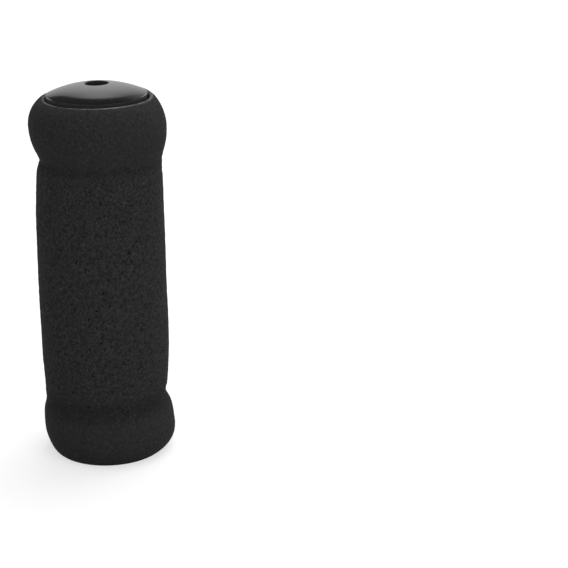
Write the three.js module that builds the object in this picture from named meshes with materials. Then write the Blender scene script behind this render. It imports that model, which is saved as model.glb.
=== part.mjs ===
// A foam handlebar grip: one moulded foam tube with a rounded bulge at each end, closed at its outer
// end by a domed plastic cap with a hole in its middle. Both pieces are turned about the same axis.
// Millimetres, +Z up. The origin is the centre of the open end's face, where the handlebar goes in.
import * as THREE from 'three';

// The handlebar is 22.2 mm across, so the foam is stretched over it
const boreDiameter = 22;

// The foam tube, heights measured up from the open end
const foamLength = 103.5;
const footFlatDiameter = 31.4;
const footBulgeDiameter = 37.65;
const footBulgeHeight = 6.4;
const footNeckDiameter = 34.85;
const footNeckHeight = 16.6;
const bellyDiameter = 36.45;
const bellyHeight = 37.2;

// The bulge at the capped end, heights measured down from the foam's lip
const topBulgeDiameter = 37.95;
const topBulgeDrop = 7.4;
const topNeckDiameter = 33.7;
const topNeckDrop = 16.6;
const lipRounding = 0.75;

// The cap and its seat in the foam
const capDiameter = 27.8;
const capClearance = 0.3;
const capSeatDepth = 2.35;
const capRise = 4.15;
const crownRadius = 33.5;
const capEdgeRounding = 0.35;
const capHoleDiameter = 6.2;
const capHoleRounding = 0.4;
const capWall = 1.8;
const spigotClearance = 0.3;
const spigotLength = 8;
const spigotLeadIn = 0.6;

// The shape of each smooth run of the foam's outline, from the foot up. Each holds how far the run
// keeps to its first direction and to its last one, across and along, as shares of its own size.
const footFlare = { leave: [0.84, 0.32], arrive: [0, 0.16] };
const footShoulder = { leave: [0, 0.84], arrive: [0.02, 0.36] };
const lowerBarrel = { leave: [0.2, 0.33], arrive: [0, 0.62] };
const upperBarrel = { leave: [0, 0.21], arrive: [0.93, 0.1] };
const topFlare = { leave: [0.1, 0.11], arrive: [0, 0.55] };
const topShoulder = { leave: [0, 0.21], arrive: [0.81, 0.16] };

// How finely the outlines and the turned surfaces are cut
const runSteps = 7;
const crownSteps = 10;
const edgeSteps = 4;
const turnSteps = 64;

const point = (radius, height) => new THREE.Vector2(radius, height);

// A smooth run between two points of an outline, as one cubic curve
function bow(from, to, shape) {
  const run = to.clone().sub(from);
  const leave = from.clone().add(run.clone().multiply(point(...shape.leave)));
  const arrive = to.clone().sub(run.clone().multiply(point(...shape.arrive)));
  return new THREE.CubicBezierCurve(from, leave, arrive, to).getPoints(runSteps);
}

// A round stretch of an outline, its angles counted from straight out towards straight up
function arc(centre, radius, startAngle, endAngle, steps) {
  const clockwise = endAngle < startAngle;
  return new THREE.EllipseCurve(centre.x, centre.y, radius, radius, startAngle, endAngle, clockwise)
    .getPoints(steps);
}

// Turns a closed outline about the Z axis. Points that two runs share are kept once.
function turned(name, outline, material) {
  const distinct = outline.filter((p, i) => i === 0 || p.distanceTo(outline[i - 1]) > 1e-6);
  const geometry = new THREE.LatheGeometry([...distinct, distinct[0].clone()], turnSteps);
  geometry.rotateX(Math.PI / 2);
  const mesh = new THREE.Mesh(geometry, material);
  mesh.name = name;
  return mesh;
}

const boreRadius = boreDiameter / 2;
const capRadius = capDiameter / 2;
const recessRadius = capRadius + capClearance;
const seatHeight = foamLength - capSeatDepth;

// The foam tube, from the open end's face up the outside, over the lip and back down the bore
function foamSleeve() {
  const footEdge = point(footFlatDiameter / 2, 0);
  const footBulge = point(footBulgeDiameter / 2, footBulgeHeight);
  const footNeck = point(footNeckDiameter / 2, footNeckHeight);
  const belly = point(bellyDiameter / 2, bellyHeight);
  const topNeck = point(topNeckDiameter / 2, foamLength - topNeckDrop);
  const topBulge = point(topBulgeDiameter / 2, foamLength - topBulgeDrop);
  const lipCrest = point(recessRadius + lipRounding, foamLength);
  const lipCentre = point(lipCrest.x, foamLength - lipRounding);
  const outline = [
    point(boreRadius, 0),
    ...bow(footEdge, footBulge, footFlare),
    ...bow(footBulge, footNeck, footShoulder),
    ...bow(footNeck, belly, lowerBarrel),
    ...bow(belly, topNeck, upperBarrel),
    ...bow(topNeck, topBulge, topFlare),
    ...bow(topBulge, lipCrest, topShoulder),
    ...arc(lipCentre, lipRounding, Math.PI / 2, Math.PI, edgeSteps),
    point(recessRadius, seatHeight),
    point(boreRadius, seatHeight),
  ];
  const foam = new THREE.MeshStandardMaterial({ color: 0x262626, roughness: 0.95, metalness: 0 });
  return turned('foam_sleeve', outline, foam);
}

// The cap: a domed head whose rim sits on the foam's seat, and a short tube below it that fills the
// end of the bore and keeps the head in its place
function endCap() {
  const crownCentre = point(0, foamLength + capRise - crownRadius);
  const crownHeight = (radius) => crownCentre.y + Math.sqrt(crownRadius ** 2 - radius ** 2);

  const edgeCentreRadius = capRadius - capEdgeRounding;
  const edgeTilt = Math.asin(edgeCentreRadius / (crownRadius - capEdgeRounding));
  const edgeCentreHeight = crownCentre.y + (crownRadius - capEdgeRounding) * Math.cos(edgeTilt);
  const edgeCentre = point(edgeCentreRadius, edgeCentreHeight);

  const holeRadius = capHoleDiameter / 2;
  const brimRadius = holeRadius + capHoleRounding;
  const brimTilt = Math.asin(brimRadius / crownRadius);
  const brimCentre = point(brimRadius, crownHeight(brimRadius) - capHoleRounding);

  const spigotRadius = boreRadius - spigotClearance;
  const spigotInside = spigotRadius - capWall;
  const spigotEnd = seatHeight - spigotLength;
  const ceiling = crownHeight(spigotInside) - capWall;
  const outline = [
    point(spigotRadius - spigotLeadIn, spigotEnd),
    point(spigotRadius, spigotEnd + spigotLeadIn),
    point(spigotRadius, seatHeight),
    point(capRadius, seatHeight),
    ...arc(edgeCentre, capEdgeRounding, 0, Math.PI / 2 - edgeTilt, edgeSteps),
    ...arc(crownCentre, crownRadius, Math.PI / 2 - edgeTilt, Math.PI / 2 - brimTilt, crownSteps),
    ...arc(brimCentre, capHoleRounding, Math.PI / 2, Math.PI, edgeSteps),
    point(holeRadius, ceiling),
    point(spigotInside, ceiling),
    point(spigotInside, spigotEnd),
  ];
  const plastic = new THREE.MeshStandardMaterial({ color: 0x1c1c1d, roughness: 0.38, metalness: 0 });
  return turned('end_cap', outline, plastic);
}

const grip = new THREE.Group();
grip.name = 'foam_handlebar_grip';
grip.add(foamSleeve(), endCap());

export default grip;
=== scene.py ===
"""A black foam handlebar grip that stands on its open end, with a domed plastic cap in its top end.

The foam and the cap are both turned about the Z axis, which is the axis of the bore. Their lengths
are written in millimetres and turned into metres once, where a mesh is made. The studio's are in
metres.
"""

import math

import bpy
import numpy as np
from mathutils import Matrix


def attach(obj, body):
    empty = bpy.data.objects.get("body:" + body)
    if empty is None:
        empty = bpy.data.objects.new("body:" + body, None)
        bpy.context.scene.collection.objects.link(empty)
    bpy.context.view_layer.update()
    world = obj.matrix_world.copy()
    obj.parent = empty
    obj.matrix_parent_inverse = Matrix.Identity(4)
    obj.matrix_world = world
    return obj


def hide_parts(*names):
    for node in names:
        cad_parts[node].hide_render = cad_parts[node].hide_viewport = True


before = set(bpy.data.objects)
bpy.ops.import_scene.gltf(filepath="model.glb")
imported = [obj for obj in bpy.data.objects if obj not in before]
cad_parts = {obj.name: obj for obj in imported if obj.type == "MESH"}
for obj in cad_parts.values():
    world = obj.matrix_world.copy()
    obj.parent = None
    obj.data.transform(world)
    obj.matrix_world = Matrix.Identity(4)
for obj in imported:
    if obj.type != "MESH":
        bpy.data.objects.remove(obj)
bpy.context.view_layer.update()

MM = 0.001

# The foam's main sizes, in millimetres, heights up from the open end
BORE_RADIUS = 11.0
FOAM_LENGTH = 103.5
FOOT_EDGE = (15.7, 0.0)
FOOT_BULGE = (18.825, 6.4)
FOOT_NECK = (17.425, 16.6)
BELLY = (18.225, 37.2)
TOP_NECK = (16.85, 86.9)
TOP_BULGE = (18.975, 96.1)
LIP_ROUNDING = 0.75

# The cap and its seat, in millimetres
CAP_RADIUS = 13.9
CAP_CLEARANCE = 0.3
SEAT_DEPTH = 2.35
CAP_RISE = 4.15
CROWN_RADIUS = 33.5
CAP_EDGE_ROUNDING = 0.35
HOLE_RADIUS = 3.05
HOLE_ROUNDING = 0.5
CAP_WALL = 1.8
SPIGOT_CLEARANCE = 0.3
SPIGOT_LENGTH = 8.0
SPIGOT_LEAD_IN = 0.6

RECESS_RADIUS = CAP_RADIUS + CAP_CLEARANCE
SEAT_HEIGHT = FOAM_LENGTH - SEAT_DEPTH

# Small roundings that only show close up, in millimetres
BORE_EDGE_ROUNDING = 0.35
MOULDED_EDGE = 0.12

# Where the cap's matt side ends and its smooth crown begins, in millimetres above the open end
SIDE_TOP = 104.5

# How far the foam's middle wanders to the right: pairs of a height and a shift, in millimetres
SIDE_SHIFT = ((0, 0), (3, 0.45), (8, 0.1), (13, -0.3), (17, -0.65), (20, -0.38), (25, -0.22),
              (30, -0.23), (45, -0.4), (60, -0.5), (66, -0.4), (73, -0.28), (80, -0.2),
              (84, -0.12), (86.5, 0.3), (90, 0.1), (95, -0.2), (100, -0.4), (103, -0.3))

# The two creases, in millimetres: their heights, at the foot's neck and just above the top one, how
# much deeper than the outline and how wide they are, and how far and over what height the top one
# dips at the front
CREASES = (FOOT_NECK[1], TOP_NECK[1] + 2)
CREASE_DEPTH = 0.2
CREASE_WIDTH = 1.8
DIP_DEPTH = 0.9
DIP_WIDTH = 5.0

# The foam's slow waves: how many times each runs round the grip, its length along it in millimetres,
# which is below 0 where it slopes the other way, and its phase. Then how high they are, and how high
# the grain is on the barrel and on the bulges.
SLOW_WAVES = ((2, 71, 0.4), (3, -47, 2.1), (5, 23, 4.0))
SLOW_RIPPLE = 0.05
BODY_GRAIN = 0.03
BULGE_GRAIN = 0.012
GRAIN_SEED = 11

# How much the lip rises to the right, per millimetre, and the two places where it was pushed up:
# by how many millimetres and where, in degrees from the right towards the back. The sharper a place
# is, the less of the lip it lifts. The recess lies off the middle, in millimetres to the right.
LIP_LEAN = 0.015
LIP_RISES = ((0.9, 50), (0.5, 150))
LIP_RISE_SHARPNESS = 8
RECESS_SHIFT = -0.1

# How the cap sits: off the middle, in millimetres to the right, and how much it rises to the right
# and to the back, per millimetre
CAP_SHIFT = -0.2
CAP_LEAN_RIGHT = 0.012
CAP_LEAN_BACK = 0.01

# How finely each piece is divided round its axis
FOAM_TURNS = 320
CAP_TURNS = 256

# How pale each surface is, from 0 to 1: the ground foam, the painted highlight on the lip's cut
# edge, the cap's crown and the cap's matt side, which painted light makes paler
FOAM_DARKEST = 0.002
FOAM_PALEST = 0.068
LIP_HIGHLIGHT_TONE = 0.2
CROWN_DARKEST = 0.01
CROWN_PALEST = 0.014
MATT_PAINTED_LIGHT_TONE = 0.022

# The camera: its place in millimetres from the open end's centre, how far it looks down and to the
# right in degrees, and its lens and sensor in millimetres
CAMERA_PLACE = (0.3, -429.7, 192.4)
CAMERA_DOWN = 18.52
CAMERA_RIGHT = 6.8
LENS = 100
SENSOR = 36

# The lamps: each one's name, its place and size in metres, and its power in watts
LAMPS = (("overhead softbox", (0.3, 0.45, 0.95), 0.9, 7.0),
         ("right softbox", (0.55, -0.8, 0.6), 0.7, 2.6))

# The floor's size and how far it lies below the foot, in metres, its own tone and its glow. Then
# the light of the sky, and that of the room that only reflections see.
FLOOR_SIZE = 8.0
FLOOR_DROP = 0.00002
FLOOR_LEVEL = 0.5
FLOOR_LIFT = 0.6
SKY_LEVEL = 0.55
CEILING_LEVEL = 0.04
ROOM_LEVEL = 0.06
ROOM_RIGHT_GAIN = 0.4
BESIDE_LEVEL = 1.2

# The white screen behind the grip, as slopes seen from it: its middle, half its width, the height
# where its arch starts and the arch's top. Its light, low down and what it gains higher up.
SCREEN_MIDDLE = 0.01
SCREEN_HALF_WIDTH = 0.305
SCREEN_SHOULDER = 0.8
SCREEN_TOP = 1.32
SCREEN_LEVEL = 0.64
SCREEN_RISE = 0.88


def smooth(low, high, x):
    """0 below low, 1 above high, and between them 3t^2 - 2t^3 of the way t."""
    t = np.clip((x - low) / (high - low), 0, 1)
    return t * t * (3 - 2 * t)


def line(start, end, steps):
    """Evenly spaced points from start to just before end: 1 - t of the one and t of the other."""
    t = np.linspace(0, 1, steps, endpoint=False)[:, None]
    return (1 - t) * np.array(start) + t * np.array(end)


def bow(start, end, leave, arrive, steps):
    """One cubic curve from start to just before end. Its two handles reach, across and along, as
    far as the given shares of the curve's own width and height. With r for 1 - t, a point is r^3 of
    the start, 3 r^2 t of the first handle, 3 r t^2 of the second and t^3 of the end."""
    start, end = np.array(start), np.array(end)
    first, second = start + (end - start) * leave, end - (end - start) * arrive
    t = np.linspace(0, 1, steps, endpoint=False)[:, None]
    r = 1 - t
    return r**3 * start + 3 * r**2 * t * first + 3 * r * t**2 * second + t**3 * end


def arc(centre, radius, first, last, steps):
    """Points of a circle from one angle to just before another, in degrees from straight out
    towards straight up: the centre plus the radius times the angle's cosine and sine."""
    angle = np.radians(np.linspace(first, last, steps, endpoint=False))
    across, up = centre[0] + radius * np.cos(angle), centre[1] + radius * np.sin(angle)
    return np.stack([across, up], axis=1)


def foam_outline():
    """The foam's closed outline as rows of radius and height: the foot's cut face, the outside from
    the foot's bulge over the barrel to the top bulge, the lip, the cap's recess and the bore."""
    crest = RECESS_RADIUS + LIP_ROUNDING
    soft = BORE_EDGE_ROUNDING
    return np.concatenate([
        line((BORE_RADIUS + soft, 0), FOOT_EDGE, 10),
        bow(FOOT_EDGE, FOOT_BULGE, (0.84, 0.32), (0, 0.16), 16),
        bow(FOOT_BULGE, FOOT_NECK, (0, 0.84), (0.02, 0.36), 30),
        bow(FOOT_NECK, BELLY, (0.2, 0.33), (0, 0.62), 40),
        bow(BELLY, TOP_NECK, (0, 0.21), (0.93, 0.1), 86),
        bow(TOP_NECK, TOP_BULGE, (0.1, 0.11), (0, 0.55), 26),
        bow(TOP_BULGE, (crest, FOAM_LENGTH), (0, 0.21), (0.81, 0.16), 34),
        arc((crest, FOAM_LENGTH - LIP_ROUNDING), LIP_ROUNDING, 90, 180, 7),
        line((RECESS_RADIUS, FOAM_LENGTH - LIP_ROUNDING), (RECESS_RADIUS, SEAT_HEIGHT), 4),
        line((RECESS_RADIUS, SEAT_HEIGHT), (BORE_RADIUS + soft, SEAT_HEIGHT), 5),
        arc((BORE_RADIUS + soft, SEAT_HEIGHT - soft), soft, 90, 180, 4),
        line((BORE_RADIUS, SEAT_HEIGHT - soft), (BORE_RADIUS, soft), 36),
        arc((BORE_RADIUS + soft, soft), soft, 180, 270, 4),
    ])


def cap_outline():
    """The cap's closed outline as rows of radius and height. The crown is a circle's arc, its edge
    another arc that touches both the crown and the straight side, and the hole's brim a third."""
    crown = (0.0, FOAM_LENGTH + CAP_RISE - CROWN_RADIUS)
    edge_reach = CROWN_RADIUS - CAP_EDGE_ROUNDING
    edge_tilt = math.asin((CAP_RADIUS - CAP_EDGE_ROUNDING) / edge_reach)
    edge = (CAP_RADIUS - CAP_EDGE_ROUNDING, crown[1] + edge_reach * math.cos(edge_tilt))
    brim_radius = HOLE_RADIUS + HOLE_ROUNDING
    brim_tilt = math.asin(brim_radius / CROWN_RADIUS)
    brim = (brim_radius, crown[1] + CROWN_RADIUS * math.cos(brim_tilt) - HOLE_ROUNDING)
    crown_start, crown_end = 90 - math.degrees(edge_tilt), 90 - math.degrees(brim_tilt)

    outer = BORE_RADIUS - SPIGOT_CLEARANCE
    inner = outer - CAP_WALL
    low = SEAT_HEIGHT - SPIGOT_LENGTH
    ceiling = crown[1] + math.sqrt(CROWN_RADIUS**2 - inner**2) - CAP_WALL
    soft = MOULDED_EDGE
    return np.concatenate([
        line((inner + soft, low), (outer - SPIGOT_LEAD_IN, low), 3),
        line((outer - SPIGOT_LEAD_IN, low), (outer, low + SPIGOT_LEAD_IN), 3),
        line((outer, low + SPIGOT_LEAD_IN), (outer, SEAT_HEIGHT), 8),
        line((outer, SEAT_HEIGHT), (CAP_RADIUS - soft, SEAT_HEIGHT), 6),
        arc((CAP_RADIUS - soft, SEAT_HEIGHT + soft), soft, -90, 0, 4),
        line((CAP_RADIUS, SEAT_HEIGHT + soft), (CAP_RADIUS, edge[1]), 10),
        arc(edge, CAP_EDGE_ROUNDING, 0, crown_start, 14),
        arc(crown, CROWN_RADIUS, crown_start, crown_end, 44),
        arc(brim, HOLE_ROUNDING, 90, 180, 10),
        line((HOLE_RADIUS, brim[1]), (HOLE_RADIUS, ceiling + soft), 6),
        arc((HOLE_RADIUS + soft, ceiling + soft), soft, 180, 270, 4),
        line((HOLE_RADIUS + soft, ceiling), (inner - soft, ceiling), 8),
        arc((inner - soft, ceiling - soft), soft, 90, 0, 4),
        line((inner, ceiling - soft), (inner, low + soft), 12),
        arc((inner + soft, low + soft), soft, 180, 270, 4),
    ])


def turned(outline, turns):
    """The outline carried round the Z axis: arrays of the angle, radius and height, with a row for
    each point of the outline and a column for each turn."""
    angle = np.linspace(0, 2 * np.pi, turns, endpoint=False)
    shape = (len(outline), turns)
    spread = (angle[None, :], outline[:, :1], outline[:, 1:])
    return [np.broadcast_to(values, shape).copy() for values in spread]


def through(stations, x):
    """A smooth curve through stations, each a place and its value. Between two of them it is the
    cubic curve that has the slopes of the stations at its ends."""
    place, value = np.array(stations, dtype=float).T
    slope = np.gradient(value, place)
    low = np.clip(np.searchsorted(place, x) - 1, 0, len(place) - 2)
    high = low + 1
    span = place[high] - place[low]
    t = np.clip((x - place[low]) / span, 0, 1)
    ends = (1 - t)**2 * (1 + 2 * t) * value[low] + t**2 * (3 - 2 * t) * value[high]
    return ends + span * t * (1 - t) * ((1 - t) * slope[low] - t * slope[high])


def ripple(angle, height, turns_round, wave_length, phase):
    """The sine of an angle that grows a whole number of times round the grip and once in each wave
    length along it."""
    return np.sin(turns_round * angle + 2 * np.pi * height / wave_length + phase)


def foam_surface():
    """The turned outline with what grinding and moulding leave: x is the radius times the angle's
    cosine plus a shift that wanders with the height, and y is the radius times its sine. The radius
    gains slow ripples and a fine grain, which is seeded random heights, each added to three
    neighbours and halved. It loses a bell curve of the height at each crease. The top crease dips
    towards the front, and the lip is askew."""
    angle, radius, height = turned(foam_outline(), FOAM_TURNS)

    # 1 on the outside, 0 in the recess, in the bore and on the foot's cut face
    skin = smooth(RECESS_RADIUS, RECESS_RADIUS + LIP_ROUNDING, radius)
    skin = skin * smooth(0, 1.5, height + (radius > FOOT_EDGE[0]))

    # 1 on the barrel, 0 on the bulges
    barrel = smooth(FOOT_NECK[1] - 7, FOOT_NECK[1] - 2, height)
    barrel = barrel * (1 - smooth(TOP_NECK[1] - 8, TOP_NECK[1], height))

    # The deeper creases, the dip of the top one and the askew lip
    groove = sum(np.exp(-((height - middle) / CREASE_WIDTH)**2) for middle in CREASES)
    front = 0.5 - 0.5 * np.sin(angle)
    dip = np.exp(-((height - TOP_NECK[1]) / DIP_WIDTH)**2)
    lip = smooth(SEAT_HEIGHT + 0.2, FOAM_LENGTH, height)
    rise = LIP_LEAN * radius * np.cos(angle)
    for most, side in LIP_RISES:
        nearness = 0.5 + 0.5 * np.cos(angle - math.radians(side))
        rise += most * nearness**LIP_RISE_SHARPNESS
    height = height - DIP_DEPTH * dip * front * skin + rise * lip

    # The ripples and the grain. Half the sum of four random heights is as rough as one.
    slow = sum(ripple(angle, height, *wave) for wave in SLOW_WAVES)
    grain = np.random.default_rng(GRAIN_SEED).normal(size=radius.shape)
    grain = grain + np.roll(grain, 1, 0) + np.roll(grain, 1, 1) + np.roll(grain, (1, 1), (0, 1))
    grain = grain / 2
    grain_depth = BULGE_GRAIN + (BODY_GRAIN - BULGE_GRAIN) * barrel
    radius = radius + skin * (SLOW_RIPPLE * slow + grain_depth * grain - CREASE_DEPTH * groove)

    # The recess has a shift of its own, which fades out below the seat
    crest = RECESS_RADIUS + LIP_ROUNDING
    recess = 1 - smooth(crest - 0.4, crest + 0.8, radius)
    recess = recess * smooth(SEAT_HEIGHT - 6, SEAT_HEIGHT, height)
    shift = (1 - recess) * skin * through(SIDE_SHIFT, height) + recess * RECESS_SHIFT
    x = radius * np.cos(angle) + shift
    return np.stack([x, radius * np.sin(angle), height], axis=-1) * MM


def cap_surface():
    """The cap's outline carried round the Z axis: x and y are the radius times the angle's cosine
    and sine. It sits a little to the left, and above its seat its height grows to the right and to
    the back, because the head was pressed in askew."""
    angle, radius, height = turned(cap_outline(), CAP_TURNS)
    x, y = radius * np.cos(angle), radius * np.sin(angle)
    lean = CAP_LEAN_RIGHT * x + CAP_LEAN_BACK * y
    height = height + lean * smooth(SEAT_HEIGHT + 0.3, FOAM_LENGTH, height)
    return np.stack([x + CAP_SHIFT, y, height], axis=-1) * MM


def ring_mesh(name, points, material):
    """A smooth mesh of a grid of points that closes on itself both along the outline and round it.
    Each face joins a point, the next one round, the one above that and the one above the first."""
    rows, turns = points.shape[:2]
    here = np.arange(rows * turns).reshape(rows, turns)
    round_on, above = np.roll(here, -1, axis=1), np.roll(here, -1, axis=0)
    corners = np.stack([here, round_on, np.roll(round_on, -1, axis=0), above], axis=-1).reshape(-1)
    mesh = bpy.data.meshes.new(name)
    mesh.vertices.add(rows * turns)
    mesh.vertices.foreach_set("co", points.reshape(-1))
    mesh.loops.add(len(corners))
    mesh.loops.foreach_set("vertex_index", corners)
    mesh.polygons.add(rows * turns)
    mesh.polygons.foreach_set("loop_start", np.arange(0, len(corners), 4))
    mesh.polygons.foreach_set("use_smooth", np.ones(rows * turns, dtype=bool))
    mesh.materials.append(material)
    mesh.update(calc_edges=True)
    mesh.validate()
    piece = bpy.data.objects.new(name, mesh)
    bpy.context.scene.collection.objects.link(piece)
    return piece


class Term:
    """A number or colour that changes over a surface, so that a material's maths can be written as
    an expression. Each operator adds the Math node that works it out."""

    def __init__(self, graph, socket):
        self.graph, self.socket = graph, socket

    def maths(self, operation, *values):
        return self.graph.node("ShaderNodeMath", {"operation": operation}, dict(enumerate(values)))

    def __add__(self, other):
        return self.maths("ADD", self, other)

    def __sub__(self, other):
        return self.maths("SUBTRACT", self, other)

    def __rsub__(self, other):
        return self.maths("SUBTRACT", other, self)

    def __mul__(self, other):
        return self.maths("MULTIPLY", self, other)

    def __truediv__(self, other):
        return self.maths("DIVIDE", self, other)

    __radd__ = __add__
    __rmul__ = __mul__

    def between(self, low, high, step="SMOOTHSTEP"):
        """0 below low, 1 above high and a smooth or a straight step between them."""
        settings = {"interpolation_type": step}
        values = {"Value": self, "From Min": low, "From Max": high}
        return self.graph.node("ShaderNodeMapRange", settings, values)


class Graph:
    """Nodes made one by one in the tree of a material or of the world."""

    def __init__(self, owner):
        owner.use_nodes = True
        self.tree = owner.node_tree

    def node(self, kind, settings, values, output=0):
        """Adds a node, sets it up, then gives its sockets their values or links."""
        made = self.tree.nodes.new(kind)
        for setting, value in settings.items():
            setattr(made, setting, value)
        for socket, value in values.items():
            self.feed(made.inputs[socket], value)
        return Term(self, made.outputs[output])

    def feed(self, socket, value):
        if isinstance(value, Term):
            self.tree.links.new(value.socket, socket)
        else:
            socket.default_value = value

    def rays(self):
        """Whether a ray comes from the camera, a reflection or a see-through piece: 1 or 0 each."""
        kinds = ("Is Camera Ray", "Is Glossy Ray", "Is Transmission Ray")
        return [self.node("ShaderNodeLightPath", {}, {}, kind) for kind in kinds]


class Finish(Graph):
    """One material: its Principled shader, and patterns that follow the piece."""

    def __init__(self, name, **constants):
        self.material = bpy.data.materials.new(name)
        super().__init__(self.material)
        self.shader = self.tree.nodes["Principled BSDF"]
        for socket, value in constants.items():
            self.shader.inputs[socket.replace("_", " ")].default_value = value
        self.place = self.node("ShaderNodeTexCoord", {}, {}, "Object")

    def noise(self, size, detail, seed):
        """Cloudy noise from 0 to 1 whose largest blots are about size millimetres across."""
        values = {"Vector": self.place, "W": seed, "Scale": 1 / (size * MM), "Detail": detail}
        values["Roughness"] = 0.6
        return self.node("ShaderNodeTexNoise", {"noise_dimensions": "4D"}, values)

    def along(self, axis):
        """How far a point lies along the X, Y or Z axis, in millimetres."""
        return self.node("ShaderNodeSeparateXYZ", {}, {"Vector": self.place}, axis) * (1 / MM)

    def radius(self):
        """The distance from the Z axis, in millimetres."""
        values = {0: self.place, 1: (1, 1, 0)}
        flat = self.node("ShaderNodeVectorMath", {"operation": "MULTIPLY"}, values)
        length = self.node("ShaderNodeVectorMath", {"operation": "LENGTH"}, {0: flat}, "Value")
        return length * (1 / MM)

    def front(self):
        """How far a point looks to the front, from 0 at the sides to 1 at the very front."""
        return (0 - self.along("Y")) / self.radius()

    def mix(self, amount, first, second):
        """A colour between two, by an amount from 0 to 1."""
        values = {0: amount, 6: first, 7: second}
        return self.node("ShaderNodeMix", {"data_type": "RGBA"}, values, 2)

    def bump(self, relief, depth):
        """Turns a relief from 0 to 1 into a bump of the given depth in millimetres."""
        return self.node("ShaderNodeBump", {}, {"Height": relief, "Distance": depth * MM})

    def drive(self, **links):
        for socket, value in links.items():
            self.feed(self.shader.inputs[socket.replace("_", " ")], value)
        return self.material


def grey(level):
    return (level, level, level, 1.0)


def foam_finish():
    """Black closed-cell foam, ground to size: a fine mottle, small dark pits where the grinding
    opened cells, and pale specks between them. The bulges are smoother than the barrel, the creases
    get painted shade, and the cut edge of the lip has a painted highlight, a thin pale line that is
    palest at the front."""
    foam = Finish("ground foam", Roughness=0.92, Specular_IOR_Level=0.08)
    height = foam.along("Z")
    foot = height.between(FOOT_NECK[1] - 1, FOOT_NECK[1] + 9)
    top = height.between(TOP_NECK[1] - 6, TOP_NECK[1] + 1)
    coarse = 0.5 + 0.5 * foot * (1 - top)
    mottle = foam.noise(0.8, 3.0, 1.0)
    pits = foam.noise(0.6, 1.0, 2.0).between(0.6, 0.74)
    specks = foam.noise(0.5, 0.0, 3.0).between(0.66, 0.8)

    # Painted shade: the foam is darker in a band at each of the two creases, where shade falls.
    below_top = 1 - height.between(TOP_NECK[1] - 1, TOP_NECK[1] + 1)
    top_crease = height.between(TOP_NECK[1] - 4, TOP_NECK[1] - 1) * below_top
    below_barrel = 1 - height.between(FOOT_NECK[1], FOOT_NECK[1] + 5)
    low_crease = height.between(FOOT_NECK[1] - 5, FOOT_NECK[1] - 1) * below_barrel
    painted_crease_shade = 0.12 * low_crease + 0.08 * top_crease
    blotches = (mottle - 0.5) * 1.25 - pits * 0.3 + specks * 0.7
    tone = 0.42 + blotches * coarse - painted_crease_shade
    ground = foam.mix(tone, grey(FOAM_DARKEST), grey(FOAM_PALEST))
    relief = 0.6 * mottle - 0.5 * pits + 0.4 * specks

    # Painted highlight: a thin pale line on the lip's cut edge, in patches and palest at the front.
    crest = RECESS_RADIUS + LIP_ROUNDING
    lip = height.between(FOAM_LENGTH - 0.7, FOAM_LENGTH - 0.2)
    lip = lip * (1 - foam.radius().between(crest - 0.1, crest + 0.6))
    patchiness = 0.3 + 0.7 * foam.noise(3.0, 2.0, 5.0).between(0.35, 0.65)
    painted_lip_highlight = lip * patchiness * (0.7 + 0.8 * foam.front().between(0.82, 0.98))
    return foam.drive(
        Base_Color=foam.mix(painted_lip_highlight, ground, grey(LIP_HIGHLIGHT_TONE)),
        Normal=foam.bump(relief * coarse, 0.25),
    )


def cap_finish():
    """Black moulded plastic: a smooth crown with a soft sheen. The side, the tube and the inside of
    the hole are matt, and painted light makes them a little paler."""
    plastic = Finish("moulded plastic", IOR=1.55)
    cloud = plastic.noise(6.0, 3.0, 1.0)
    grain = plastic.noise(0.18, 2.0, 2.0)
    x, y, z = (plastic.along(axis) for axis in "XYZ")
    level = z - x * CAP_LEAN_RIGHT - y * CAP_LEAN_BACK
    side = 1 - level.between(SIDE_TOP - 0.04, SIDE_TOP + 0.04)
    hole = 1 - plastic.radius().between(HOLE_RADIUS + 0.1, HOLE_RADIUS + 0.4)
    # Painted light: the matt side and the inside of the hole take a paler tone than the crown.
    matt_and_painted_light = side.maths("MAXIMUM", side, hole)
    crown = plastic.mix(cloud, grey(CROWN_DARKEST), grey(CROWN_PALEST))
    return plastic.drive(
        Base_Color=plastic.mix(matt_and_painted_light, crown, grey(MATT_PAINTED_LIGHT_TONE)),
        Roughness=0.08 + cloud * 0.06 + matt_and_painted_light * 0.75,
        Normal=plastic.bump(grain, 0.002),
    )


def floor():
    """A wide pale floor that shows white to the camera and in reflections, and keeps the shadow. It
    lies a hair below the foot's face, so that the two are never in one plane."""
    half, low = FLOOR_SIZE / 2, -FLOOR_DROP
    mesh = bpy.data.meshes.new("floor")
    corners = [(-half, -half, low), (half, -half, low), (half, half, low), (-half, half, low)]
    mesh.from_pydata(corners, [], [(0, 1, 2, 3)])
    plane = bpy.data.objects.new("floor", mesh)
    bpy.context.scene.collection.objects.link(plane)
    pale = Finish("pale floor", Roughness=1.0, Specular_IOR_Level=0.0, Emission_Strength=1.0,
                  Base_Color=grey(FLOOR_LEVEL))
    lift = pale.mix(sum(pale.rays()), grey(0.0), grey(FLOOR_LIFT))
    mesh.materials.append(pale.drive(Emission_Color=lift))


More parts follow.
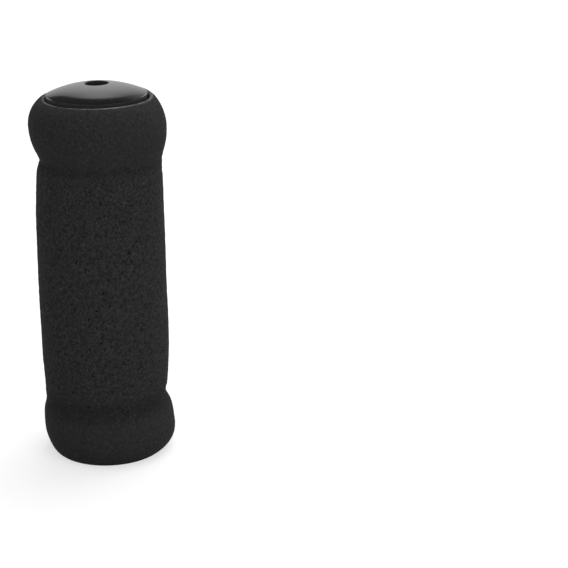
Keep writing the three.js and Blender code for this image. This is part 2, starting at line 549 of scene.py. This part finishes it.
def sky():
    """White where the camera or a see-through piece looks at it, and a soft grey light elsewhere. A
    reflection sees a white screen behind the grip and a dim room round it, less dim on the right
    and bright low down beside the screen. The screen has straight sides and an arched top, and is
    brightest high up in its middle."""
    world = bpy.data.worlds.new("studio")
    bpy.context.scene.world = world
    room = Graph(world)
    way = room.node("ShaderNodeTexCoord", {}, {}, "Generated")
    side, back, up = (room.node("ShaderNodeSeparateXYZ", {}, {"Vector": way}, axis)
                      for axis in "XYZ")
    across, above = side / back, up / back
    arch = (across - SCREEN_MIDDLE) * (1 / SCREEN_HALF_WIDTH)
    rise = above.maths("MAXIMUM", above - SCREEN_SHOULDER, 0) * (1 / (SCREEN_TOP - SCREEN_SHOULDER))
    screen = (1 - (arch * arch + rise * rise).between(0.94, 1.06)) * back.between(0.05, 0.15)
    level = (above.between(0, 0.6, "LINEAR") * SCREEN_RISE + SCREEN_LEVEL) * (1 - arch * arch * 0.6)
    dim = ROOM_LEVEL + across.between(0, 0.5) * ROOM_RIGHT_GAIN
    beside = across.maths("ABSOLUTE", across).between(0.42, 0.5) * back.between(0.3, 0.6)
    dim = dim + beside * (1 - above.between(0.4, 0.8)) * BESIDE_LEVEL
    dim = dim + (CEILING_LEVEL - dim) * up.between(0.5, 0.8)
    shine = screen * level + (1 - screen) * dim

    camera_ray, glossy_ray, through_ray = room.rays()
    white = camera_ray.maths("MAXIMUM", camera_ray, through_ray)
    strength = white + (1 - white) * (glossy_ray * shine + (1 - glossy_ray) * SKY_LEVEL)
    background = room.tree.nodes["Background"]
    background.inputs["Color"].default_value = grey(1.0)
    room.feed(background.inputs["Strength"], strength)


def lamp(name, place, size, power):
    """A square area lamp, aimed at the middle of the grip. Reflections don't show it."""
    light = bpy.data.lights.new(name, "AREA")
    light.shape = "SQUARE"
    light.size = size
    light.energy = power
    holder = bpy.data.objects.new(name, light)
    bpy.context.scene.collection.objects.link(holder)
    holder.location = place
    aim = np.array((0, 0, FOAM_LENGTH / 2 * MM)) - place
    tilt = math.acos(-aim[2] / np.linalg.norm(aim))
    holder.rotation_euler = (tilt, 0, math.atan2(-aim[0], aim[1]))
    holder.visible_glossy = False


def camera():
    """The photograph's view: from the front and above, with the grip left of the middle."""
    lens = bpy.data.cameras.new("camera")
    lens.lens = LENS
    lens.sensor_width = SENSOR
    holder = bpy.data.objects.new("camera", lens)
    bpy.context.scene.collection.objects.link(holder)
    holder.location = np.array(CAMERA_PLACE) * MM
    holder.rotation_euler = (math.radians(90 - CAMERA_DOWN), 0, -math.radians(CAMERA_RIGHT))
    bpy.context.scene.camera = holder


camera()
sky()
floor()
for softbox in LAMPS:
    lamp(*softbox)

foam = ring_mesh("foam_grip", foam_surface(), foam_finish())
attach(foam, "root")
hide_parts("foam_sleeve")

cap = ring_mesh("domed_cap", cap_surface(), cap_finish())
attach(cap, "root")
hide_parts("end_cap")

bpy.context.scene.view_settings.view_transform = "Standard"
